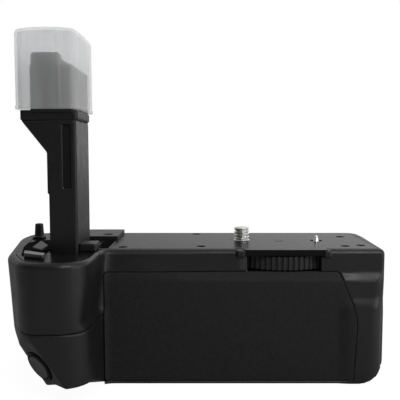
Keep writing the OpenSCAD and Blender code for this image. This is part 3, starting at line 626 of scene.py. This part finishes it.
# Clear cap over the contact block: domed top, thick rim and a small bead at the front
cap_plan = outline([(-82.8, -35.2, 4.0), (-60.6, -35.2, 2.0), (-60.2, -4.8, 2.8), (-82.4, -4.8, 4.5)])
CAP_BOTTOM = 51.3
CAP_TOP = 78.9
CAP_WALL = 0.9
CAP_DOME = 0.6
CAP_MID = (-71.0, -20.0)
CAP_HALF = (10.0, 15.0)
CAP_EDGE = 1.4
CAP_INNER_EDGE = 1.2
RIM = 0.25
RIM_Z = (53.0, 52.2)
BEAD_X = -66.7
BEAD_Y = -34.95
BEAD_TOP = 77.5
BEAD_RADIUS = 0.55


def contact_cap(x, y, z):
    side = cap_plan(x, y)
    dome_y = CAP_DOME * (1 - ((y - CAP_MID[1]) / CAP_HALF[1]) ** 2)
    dome_x = CAP_DOME * (1 - ((x - CAP_MID[0]) / CAP_HALF[0]) ** 2)
    top = z - CAP_TOP - dome_y - dome_x
    outer = meet(side - RIM * step(*RIM_Z, z), top, CAP_EDGE)
    bead = all_of(np.hypot(x - BEAD_X, y - BEAD_Y) - BEAD_RADIUS, z - BEAD_TOP)
    outer = join(outer, bead, SOFT_EDGE)
    inner = meet(side + CAP_WALL, top + CAP_WALL, CAP_INNER_EDGE)
    return meet(cut(outer, inner, SOFT_EDGE), CAP_BOTTOM - z, SOFT_EDGE)


# Clip for the camera's battery door: slanting bar on a foot, a near-black sheet behind it that paints the
# shade of the recess there, step beside the stem
bar_plan = outline([(-79.6, -36.0, 0.4), (-77.9, -42.2, 0.4), (-69.8, -46.8, 0.4), (-70.9, -41.4, 0.4)])
recess_shade_plan = outline([(-80.4, -37, 1), (-84.2, -22, 2), (-85.6, -11, 2), (-80, -4.5, 1),
                    (-73, -4.5, 1), (-73, -40, 1)])
BAR_MID_Z = 0.81
BAR_HALF = 0.79
BAR_FOOT = ((-78.4, -38.5, 0.02), (-73.4, -25.8, 0.38), 0.1)
RECESS_SHADE_MID_Z = 0.27
RECESS_SHADE_HALF = 0.25
RECESS_SHADE_EDGE = 0.1
FOOT_STEP = ((-61.25, -30.8, 0.02), (-55.4, -22.8, 3.0), 0.35)


def door_hook(x, y, z):
    bar = meet(bar_plan(x, y), np.abs(z - BAR_MID_Z) - BAR_HALF, MOULD_EDGE)
    return join(bar, box(x, y, z, *BAR_FOOT), FINE_EDGE)


# Thin sheet lying on the deck behind the bar: painted shade of the recess there.
def clip_recess_shade(x, y, z):
    return meet(recess_shade_plan(x, y), np.abs(z - RECESS_SHADE_MID_Z) - RECESS_SHADE_HALF, RECESS_SHADE_EDGE)


def cradle_step(x, y, z):
    return box(x, y, z, *FOOT_STEP)


# Grids: fine where a shape bends
FRONT_GRID = (spans((-94, -52, 0.55), (-52, -5, 2.4), (-5, 1.5, 0.5), (1.5, 27, 2.4), (27, 32.5, 0.5),
                    (32.5, 55.6, 0.55)),
              spans((-54.2, -22, 0.55), (-22, 4, 2.2), (4, 9, 0.5)),
              spans((-52.2, -40, 0.6), (-40, -27, 0.9), (-27, -18, 0.5), (-18, -13, 0.7), (-13, 1.2, 0.45)))
REAR_GRID = (spans((-94.5, -54, 0.5), (-54, -42, 0.8), (-42, -38, 0.4), (-38, -26, 1.5), (-26, -22, 0.5),
                   (-22, 28, 2.5), (28, 32, 0.4), (32, 44, 1.5), (44, 55.6, 0.5)),
             spans((7.2, 10.2, 0.5), (10.2, 18, 1.3), (18, 23.2, 0.43)),
             FRONT_GRID[2])
POD_GRID = (spans((-94, -52.6, 0.55)),
            spans((-54.2, -22, 0.55), (-22, 9, 0.7)),
            spans((-52.2, -23, 0.55)))
SKIN_GRID = (spans((-54.5, -50, 0.5), (-50, 33, 2.0), (33, 43, 0.3)),
             spans((-30.8, -21.2, 0.25)),
             spans((-51, -48, 0.4), (-48, -25, 1.2), (-25, -7, 0.3)))
DOOR_GRID = (spans((43.4, 56.0, 0.45)),
             spans((-24.8, 19.2, 0.45)),
             spans((-45.8, -18.2, 0.45)))
STEM_GRID = (spans((-82.4, -60, 0.4)),
             spans((-34, -31, 0.3), (-31, -10, 1.3), (-10, -7, 0.35)),
             spans((-6.2, 20, 1.4), (20, 25, 0.4), (25, 35, 1.2), (35, 48.6, 0.45)))
BLOCK_GRID = (spans((-81.4, -59.8, 0.35)),
              spans((-34.8, -5.2, 0.42)),
              spans((46.6, 52, 0.32), (52, 66, 1.0), (66, 71.8, 0.32)))
CAP_GRID = (spans((-84.2, -58.8, 0.38)),
            spans((-36.8, -3.4, 0.42)),
            spans((50.4, 55, 0.35), (55, 74, 0.8), (74, 82.4, 0.38)))
HOOK_GRID = (spans((-80.6, -68.8, 0.3)),
             spans((-47.8, -24.8, 0.35)),
             spans((-0.5, 2.3, 0.2)))
RECESS_SHADE_GRID = (spans((-86.4, -72.2, 0.5)),
            spans((-41, -3.8, 0.5)),
            spans((-0.2, 0.8, 0.1)))
STEP_GRID = (spans((-62, -54.8, 0.3)),
             spans((-31.5, -22.0, 0.3)),
             spans((-0.4, 3.6, 0.25)))

# Smooth pieces by the node that each replaces
SMOOTH_PIECES = {
    "front_shell": ("front_casing", front_shell, FRONT_GRID, "grip", "body_black"),
    "rear_cover": ("rear_casing", rear_cover, REAR_GRID, "grip", "body_black"),
    "handle_pod": ("pod_casing", handle_pod, POD_GRID, "grip", "body_black"),
    "front_skin": ("grip_skin", front_skin, SKIN_GRID, "grip", "leatherette"),
    "magazine_cover": ("door_panel", magazine_cover, DOOR_GRID, "magazine", "body_black"),
    "stem_column": ("stem_post", stem_column, STEM_GRID, "grip", "body_black"),
    "contact_block": ("contact_head", contact_block, BLOCK_GRID, "grip", "body_black"),
    "contact_cap": ("clear_cap", contact_cap, CAP_GRID, "cap", "cap_clear"),
    "door_hook": ("door_clip", door_hook, HOOK_GRID, "grip", "body_black"),
}
pieces = {}
for node, (name, field, grid, body, slot) in SMOOTH_PIECES.items():
    pieces[node] = place(mesh_object(name, *surface(field, *grid)), body, node)

# Sheet of painted shade behind the clip's bar.
recess_shade = place(mesh_object("clip_recess_shade", *surface(clip_recess_shade, *RECESS_SHADE_GRID)), "grip")
foot_step = place(mesh_object("cradle_step", *surface(cradle_step, *STEP_GRID)), "grip")

# Latch plate, tilted over the sheet of painted shade
LATCH_TOP = np.array([(-76.6, -25, 3.4), (-78.2, -31, 2.0), (-73.6, -36, 1.9), (-72.9, -29.5, 2.3)])
LATCH_THICK = 0.7
latch_sides = [(k, k + 4, (k + 1) % 4 + 4, (k + 1) % 4) for k in range(4)]
latch = mesh_object("clip_latch", np.concatenate([LATCH_TOP, LATCH_TOP - (0, 0, LATCH_THICK)]),
                    [(0, 1, 2, 3), (7, 6, 5, 4), *latch_sides])
place(latch, "grip")


# Attachment screw, 1/4 inch with 20 turns to the inch
PITCH = 1.27
CREST = 3.175
ROOT = 2.65
THREAD_FLAT = 0.12
THREAD_FLANK = 0.62
THREAD_START = 0.02
THREAD_LENGTH = 5.18
THREAD_ROWS = 72
FADE_IN = (0.05, 0.5)
FADE_OUT = (4.9, 5.2)
SCREW_FOOT = [(0, -6.4), (2.2, -6.4), (2.2, -2.3), (3.35, -2.3), (3.35, 0.0)]


def thread(turn, height):
    """Change of radius of a one-start thread, which fades in at the foot and ends in a taper."""
    if height >= FADE_OUT[0]:
        return -(CREST - ROOT) * step(*FADE_OUT, height)
    t = (height / PITCH - turn / (2 * math.pi)) % 1.0
    depth = (CREST - ROOT) * np.clip((abs(2 * t - 1) - THREAD_FLAT) / THREAD_FLANK, 0.0, 1.0)
    return -depth * step(*FADE_IN, height)


thread_rows = [(CREST, THREAD_START + THREAD_LENGTH * i / THREAD_ROWS) for i in range(THREAD_ROWS + 1)]
screw = lathe("screw_thread", [*SCREW_FOOT, *thread_rows, (0, FADE_OUT[1])], segments=72, wave=thread)
pieces["mount_screw"] = place(screw, "screw", "mount_screw")

# Other turned pieces
PIN_AT = (30.4714, -3.1, 0)
PIN = [(0, -2.2), (1.45, -2.2), (1.45, -0.7), (1.15, -0.55), (1.1, 0.5), (0.85, 0.8), (0.85, 1.6),
       (0.6, 2.05), (0.3, 2.2), (0, 2.2)]
pin = lathe("location_pin", PIN, PIN_AT, segments=40)
pieces["locating_pin"] = place(pin, "grip", "locating_pin")

KEY_RADIUS = 4.55
KEY_TOP = 0.75
DISH_DEPTH = 0.45
DISH_STEPS = 9


def dish_row(k):
    """Radius and height of a row of the key's hollow top."""
    inward = 1 - k / DISH_STEPS
    return KEY_RADIUS * inward, KEY_TOP - DISH_DEPTH * (1 - inward ** 2)


KEY_SIDE = [(0, -3.2), (1.6, -3.2), (1.6, -2.7), (5.0, -2.7), (5.0, -2.12), (4.55, -2.1), (4.55, 0.3),
            (4.5, 0.6), (4.3, 0.75)]
KEY = [*KEY_SIDE, *(dish_row(k) for k in range(2, DISH_STEPS)), (0, 0.3)]
key = lathe("shutter_key", KEY, *SHUTTER)
pieces["shutter_button"] = place(key, "shutter", "shutter_button")

BEZEL = [(4.66, -2.0), (5.7, -2.0), (5.72, 0.0), (5.6, 0.35), (5.3, 0.5), (4.95, 0.4), (4.7, 0.1)]
bezel = lathe("shutter_ring", BEZEL, *SHUTTER)
pieces["shutter_bezel"] = place(bezel, "grip", "shutter_bezel")

PLUG_AT = (14.8714, -4, 0)
PLUG = [(0, -0.78), (2.1, -0.78), (2.1, -0.1), (1.95, -0.02), (0, -0.02)]
plug = place(lathe("axle_plug", PLUG, PLUG_AT, segments=40), "grip")

# Camera
CAMERA_AT = (-0.0174, -0.2345, 0.0352)
CAMERA_DOWN = 4.55
cam = bpy.data.cameras.new("camera")
cam.lens = 50.94
cam.sensor_width = 36.0
cam.sensor_fit = "HORIZONTAL"
cam.clip_start = 0.01
cam_ob = bpy.data.objects.new("camera", cam)
cam_ob.location = CAMERA_AT
cam_ob.rotation_euler = (math.radians(90 - CAMERA_DOWN), 0, 0)
scene.collection.objects.link(cam_ob)
scene.camera = cam_ob


# Material helpers

def material(name):
    """New material, its node tree and its main shader."""
    m = bpy.data.materials.new(name)
    m.use_nodes = True
    return m, m.node_tree, m.node_tree.nodes["Principled BSDF"]


def add(tree, kind, **values):
    """New node; each value goes to the input or the setting of that name."""
    n = tree.nodes.new(kind)
    for key, value in values.items():
        if key in n.inputs:
            n.inputs[key].default_value = value
        else:
            setattr(n, key, value)
    return n


def object_coords(tree, scale=(1.0, 1.0, 1.0)):
    mapping = add(tree, "ShaderNodeMapping", Scale=scale)
    tree.links.new(add(tree, "ShaderNodeTexCoord").outputs["Object"], mapping.inputs["Vector"])
    return mapping.outputs["Vector"]


def noise(tree, coords, scale, detail=4.0, rough=0.5):
    n = add(tree, "ShaderNodeTexNoise", Scale=scale, Detail=detail, Roughness=rough)
    tree.links.new(coords, n.inputs["Vector"])
    return n.outputs["Fac"]


def ramp(tree, factor, low, high, start=0.3, end=0.7):
    """Colours or grey levels from low at start to high at end."""
    n = add(tree, "ShaderNodeValToRGB")
    for element, at, colour in zip(n.color_ramp.elements, (start, end), (low, high)):
        element.position = at
        element.color = (*colour, 1) if isinstance(colour, tuple) else (colour, colour, colour, 1)
    tree.links.new(factor, n.inputs["Fac"])
    return n.outputs["Color"]


def bump(tree, height, strength, distance, normal=None):
    n = add(tree, "ShaderNodeBump", Strength=strength, Distance=distance)
    tree.links.new(height, n.inputs["Height"])
    if normal is not None:
        tree.links.new(normal, n.inputs["Normal"])
    return n.outputs["Normal"]


def maths(tree, operation, value, number):
    """A value worked with a fixed number."""
    n = add(tree, "ShaderNodeMath", operation=operation)
    tree.links.new(value, n.inputs[0])
    n.inputs[1].default_value = number
    return n.outputs[0]


def mix_shaders(tree, factor, first, second):
    n = add(tree, "ShaderNodeMixShader")
    if isinstance(factor, float):
        n.inputs["Fac"].default_value = factor
    else:
        tree.links.new(factor, n.inputs["Fac"])
    tree.links.new(first, n.inputs[1])
    tree.links.new(second, n.inputs[2])
    return n.outputs[0]


def shade(colour, factor):
    return tuple(c * factor for c in colour)


# Materials: noise scales are in cells per metre, bump distances in metres
TONE_SPREAD = 0.14
MILK_SHARE = 0.55
GRAZE_POWER = 4.0
GRAZE_GLOSS = 0.35


def plastic(name, colour, rough, grain=3800.0, depth=2e-5, spec=0.5, vary=0.05):
    """Moulded plastic: fine grain, slow drift of tone and of gloss."""
    m, tree, shader = material(name)
    colour = colour if isinstance(colour, tuple) else (colour,) * 3
    coords = object_coords(tree)
    drift = noise(tree, coords, scale=60.0, detail=3.0)
    gloss = noise(tree, coords, scale=260.0, detail=5.0)
    fine = noise(tree, coords, scale=grain, detail=2.0, rough=0.6)
    tone = ramp(tree, drift, shade(colour, 1 - TONE_SPREAD), shade(colour, 1 + TONE_SPREAD))
    tree.links.new(tone, shader.inputs["Base Color"])
    tree.links.new(ramp(tree, gloss, rough - vary, rough + vary), shader.inputs["Roughness"])
    tree.links.new(bump(tree, fine, strength=0.35, distance=depth), shader.inputs["Normal"])
    shader.inputs["Specular IOR Level"].default_value = spec
    return m


def leatherette(name, tone):
    """Pebbled skin: small cells with creases between them, over a finer grain."""
    m, tree, shader = material(name)
    coords = object_coords(tree)
    warp = add(tree, "ShaderNodeTexNoise", Scale=700.0, Detail=2.0)
    tree.links.new(coords, warp.inputs["Vector"])
    bent = add(tree, "ShaderNodeMixRGB", Fac=0.0008, blend_type="ADD")
    tree.links.new(coords, bent.inputs["Color1"])
    tree.links.new(warp.outputs["Color"], bent.inputs["Color2"])
    cells = add(tree, "ShaderNodeTexVoronoi", Scale=1900.0, feature="DISTANCE_TO_EDGE")
    tree.links.new(bent.outputs["Color"], cells.inputs["Vector"])
    height = ramp(tree, cells.outputs["Distance"], 0.0, 1.0, start=0.0, end=0.22)
    fine = noise(tree, coords, scale=3600.0, detail=3.0, rough=0.6)
    grain = bump(tree, fine, strength=0.3, distance=4e-5)
    tree.links.new(bump(tree, height, strength=0.5, distance=6e-5, normal=grain), shader.inputs["Normal"])
    patch = noise(tree, coords, scale=900.0, detail=5.0, rough=0.65)
    tree.links.new(ramp(tree, patch, (tone * 0.6,) * 3, (tone * 1.5,) * 3), shader.inputs["Base Color"])
    tree.links.new(ramp(tree, patch, 0.62, 0.76), shader.inputs["Roughness"])
    shader.inputs["Specular IOR Level"].default_value = 0.3
    return m


def metal(name, colour, rough, stretch=(1.0, 1.0, 1.0)):
    """Machined metal: tool marks along one direction and small changes of gloss."""
    m, tree, shader = material(name)
    marks = noise(tree, object_coords(tree, stretch), scale=900.0, detail=4.0, rough=0.6)
    tree.links.new(ramp(tree, marks, shade(colour, 0.86), shade(colour, 1.06)), shader.inputs["Base Color"])
    tree.links.new(ramp(tree, marks, rough - 0.06, rough + 0.08), shader.inputs["Roughness"])
    tree.links.new(bump(tree, marks, strength=0.08, distance=4e-6), shader.inputs["Normal"])
    shader.inputs["Metallic"].default_value = 1.0
    return m


def frosted(name):
    """Frosted plastic: part clear, part milky with faint flow lines, glossy at a grazing angle."""
    m, tree, shader = material(name)
    flow = noise(tree, object_coords(tree, (1.0, 1.0, 0.12)), scale=160.0, detail=4.0)
    fine = noise(tree, object_coords(tree), scale=1500.0, detail=3.0)
    tone = ramp(tree, flow, (0.84, 0.845, 0.85), (0.92, 0.925, 0.93))
    tree.links.new(tone, shader.inputs["Base Color"])
    tree.links.new(ramp(tree, flow, 0.36, 0.46), shader.inputs["Roughness"])
    tree.links.new(bump(tree, fine, strength=0.2, distance=2e-5), shader.inputs["Normal"])
    clear = add(tree, "ShaderNodeBsdfTransparent", Color=(0.97, 0.972, 0.975, 1))
    through = add(tree, "ShaderNodeBsdfTranslucent", Color=(0.92, 0.925, 0.93, 1))
    gloss = add(tree, "ShaderNodeBsdfGlossy", Color=(0.95, 0.95, 0.95, 1), Roughness=0.25)
    milky = mix_shaders(tree, MILK_SHARE, shader.outputs[0], through.outputs[0])
    both = mix_shaders(tree, ramp(tree, flow, 0.3, 0.38), clear.outputs[0], milky)
    facing = add(tree, "ShaderNodeLayerWeight", Blend=0.5).outputs["Facing"]
    graze = maths(tree, "MULTIPLY", maths(tree, "POWER", facing, GRAZE_POWER), GRAZE_GLOSS)
    skin = mix_shaders(tree, graze, both, gloss.outputs[0])
    tree.links.new(skin, tree.nodes["Material Output"].inputs["Surface"])
    return m


slot_looks = {
    "body_black": plastic("body_plastic", 0.0075, 0.42, spec=0.4),
    "deck_black": plastic("deck_plastic", 0.008, 0.26, grain=1800.0, depth=1e-6, spec=0.05, vary=0.012),
    "leatherette": leatherette("leatherette", 0.009),
    "wheel_rubber": plastic("wheel_rubber", 0.02, 0.55, grain=2200.0, spec=0.35),
    "button_grey": plastic("button_plastic", 0.04, 0.42),
    "cap_clear": frosted("frosted_cap"),
    "steel": metal("bright_steel", (0.74, 0.74, 0.73), 0.34, stretch=(1.0, 1.0, 6.0)),
    "brass": metal("plated_brass", (0.72, 0.55, 0.25), 0.28),
    "inner_grey": plastic("inner_plastic", 0.06, 0.5),
    "board_green": plastic("solder_resist", (0.016, 0.085, 0.042), 0.35),
    "flex_amber": plastic("flex_film", (0.40, 0.21, 0.065), 0.4),
}
own_looks = {
    "stem_column": plastic("stem_plastic", 0.006, 0.4, spec=0.4),
    "contact_block": plastic("head_plastic", 0.006, 0.45, spec=0.35),
    "stem_inlay": plastic("inlay_rubber", 0.004, 0.7, spec=0.2),
    "screw_bush": metal("blackened_brass", (0.05, 0.048, 0.045), 0.4),
    "door_hook": plastic("clip_plastic", 0.02, 0.22, spec=0.7),
}

# Edges of the solids that keep their own mesh
SHARP_ANGLE = math.radians(32)
FLAT_ANGLE = math.radians(0.6)
WELD_DISTANCE = 2e-6
EDGE_WIDTH = 0.2
LATCH_EDGE = 0.15


def smooth_group():
    """Shades faces smooth except across sharp edges."""
    group = bpy.data.node_groups.new("smooth_by_angle", "GeometryNodeTree")
    for way in ("INPUT", "OUTPUT"):
        group.interface.new_socket("Geometry", in_out=way, socket_type="NodeSocketGeometry")
    start = group.nodes.new("NodeGroupInput")
    end = group.nodes.new("NodeGroupOutput")
    face = group.nodes.new("GeometryNodeSetShadeSmooth")
    face.domain = "FACE"
    edge = group.nodes.new("GeometryNodeSetShadeSmooth")
    edge.domain = "EDGE"
    angle = group.nodes.new("GeometryNodeInputMeshEdgeAngle")
    less = group.nodes.new("FunctionNodeCompare")
    less.data_type = "FLOAT"
    less.operation = "LESS_THAN"
    less.inputs[1].default_value = SHARP_ANGLE
    group.links.new(angle.outputs["Unsigned Angle"], less.inputs[0])
    group.links.new(start.outputs[0], face.inputs["Geometry"])
    group.links.new(face.outputs[0], edge.inputs["Geometry"])
    group.links.new(less.outputs[0], edge.inputs["Shade Smooth"])
    group.links.new(edge.outputs[0], end.inputs[0])
    return group


SMOOTH = smooth_group()


def soften(ob, width=EDGE_WIDTH):
    """Bevels and shades a piece with sharp edges."""
    ob.modifiers.new("weld", "WELD").merge_threshold = WELD_DISTANCE
    flat = ob.modifiers.new("planes", "DECIMATE")
    flat.decimate_type = "DISSOLVE"
    flat.angle_limit = FLAT_ANGLE
    edge = ob.modifiers.new("edges", "BEVEL")
    edge.width = width * MM
    edge.segments = 2
    edge.limit_method = "ANGLE"
    edge.angle_limit = SHARP_ANGLE
    ob.modifiers.new("smooth", "NODES").node_group = SMOOTH
    ob.modifiers.new("normals", "WEIGHTED_NORMAL").keep_sharp = True


def dress(ob, look):
    ob.data.materials.clear()
    ob.data.materials.append(look)


slot_of = {s["node"]: s["material_slot"] for s in frame["record"]["subparts"]}
for node in nodes:
    ob = pieces.get(node, nodes[node])
    dress(ob, own_looks.get(node, slot_looks[slot_of[node]]))
    if node not in pieces:
        soften(ob)
dress(latch, slot_looks["button_grey"])
soften(latch, LATCH_EDGE)
dress(plug, slot_looks["deck_black"])
# Near-black, matte, almost unreflecting: the sheet is painted shade of the recess behind the bar.
dress(recess_shade, plastic("painted_recess_shade", 0.002, 0.9, spec=0.02))
dress(foot_step, slot_looks["body_black"])

# Stage
FLOOR_Z = -0.0512
FLOOR_HALF = 3.0
FLOOR_GLOW_SHARE = 0.8
floor_corners = [(x * FLOOR_HALF, y * FLOOR_HALF, FLOOR_Z) for x, y in ((-1, -1), (1, -1), (1, 1), (-1, 1))]
floor_mesh = bpy.data.meshes.new("floor")
floor_mesh.from_pydata(floor_corners, [], [(0, 1, 2, 3)])
floor = bpy.data.objects.new("floor", floor_mesh)
scene.collection.objects.link(floor)


def seen_directly(tree):
    """1 for rays from the camera, also through the clear cap."""
    path = add(tree, "ShaderNodeLightPath")
    seen = add(tree, "ShaderNodeMath", operation="MAXIMUM")
    tree.links.new(path.outputs["Is Camera Ray"], seen.inputs[0])
    tree.links.new(path.outputs["Is Transmission Ray"], seen.inputs[1])
    return seen.outputs[0]


def white_floor():
    """Grey to the light, nearly white to the camera, so that a soft shadow stays."""
    m, tree, shader = material("floor_white")
    shader.inputs["Base Color"].default_value = (0.45, 0.45, 0.45, 1)
    shader.inputs["Roughness"].default_value = 0.9
    glow = add(tree, "ShaderNodeEmission", Strength=1.2)
    lit = maths(tree, "MULTIPLY", seen_directly(tree), FLOOR_GLOW_SHARE)
    mixed = mix_shaders(tree, lit, shader.outputs[0], glow.outputs[0])
    tree.links.new(mixed, tree.nodes["Material Output"].inputs["Surface"])
    return m


floor_mesh.materials.append(white_floor())


def glow_along(tree, way, start, end, low, high):
    """Strength that changes smoothly along one component of a direction."""
    n = add(tree, "ShaderNodeMapRange", interpolation_type="SMOOTHSTEP")
    for socket, value in zip(("From Min", "From Max", "To Min", "To Max"), (start, end, low, high)):
        n.inputs[socket].default_value = value
    tree.links.new(way, n.inputs["Value"])
    return n.outputs[0]


def backdrop():
    """World that looks white, and lights from the rear, more from the right, and from above."""
    world = bpy.data.worlds.new("world")
    world.use_nodes = True
    tree = world.node_tree
    white = add(tree, "ShaderNodeBackground", Color=(1, 1, 1, 1), Strength=1.0)
    axes = add(tree, "ShaderNodeSeparateXYZ")
    tree.links.new(add(tree, "ShaderNodeTexCoord").outputs["Generated"], axes.inputs[0])
    ways = axes.outputs
    rear = add(tree, "ShaderNodeMath", operation="MULTIPLY")
    tree.links.new(glow_along(tree, ways["Y"], start=-0.4, end=0.6, low=0.06, high=0.85), rear.inputs[0])
    tree.links.new(glow_along(tree, ways["X"], start=-0.35, end=0.3, low=0.62, high=1.08), rear.inputs[1])
    total = add(tree, "ShaderNodeMath", operation="ADD")
    tree.links.new(rear.outputs[0], total.inputs[0])
    tree.links.new(glow_along(tree, ways["Z"], start=0.35, end=0.9, low=0.0, high=0.25), total.inputs[1])
    light = tree.nodes["Background"]
    light.inputs["Color"].default_value = (1, 1, 1, 1)
    tree.links.new(total.outputs[0], light.inputs["Strength"])
    mixed = mix_shaders(tree, seen_directly(tree), light.outputs[0], white.outputs[0])
    tree.links.new(mixed, tree.nodes["World Output"].inputs["Surface"])
    return world


scene.world = backdrop()


def area_lamp(name, at, target, size, power):
    lamp = bpy.data.lights.new(name, "AREA")
    lamp.shape = "RECTANGLE"
    lamp.size, lamp.size_y = size
    lamp.energy = power
    ob = bpy.data.objects.new(name, lamp)
    ob.location = at
    ob.rotation_euler = (Vector(target) - Vector(at)).to_track_quat("-Z", "Y").to_euler()
    scene.collection.objects.link(ob)


area_lamp("key", at=(0.2, -0.52, 0.46), target=(-0.02, -0.01, 0.0), size=(0.34, 0.22), power=2.1)
area_lamp("right", at=(0.6, -0.32, 0.12), target=(0.02, -0.01, -0.01), size=(0.4, 0.4), power=1.4)

scene.view_settings.view_transform = "Standard"
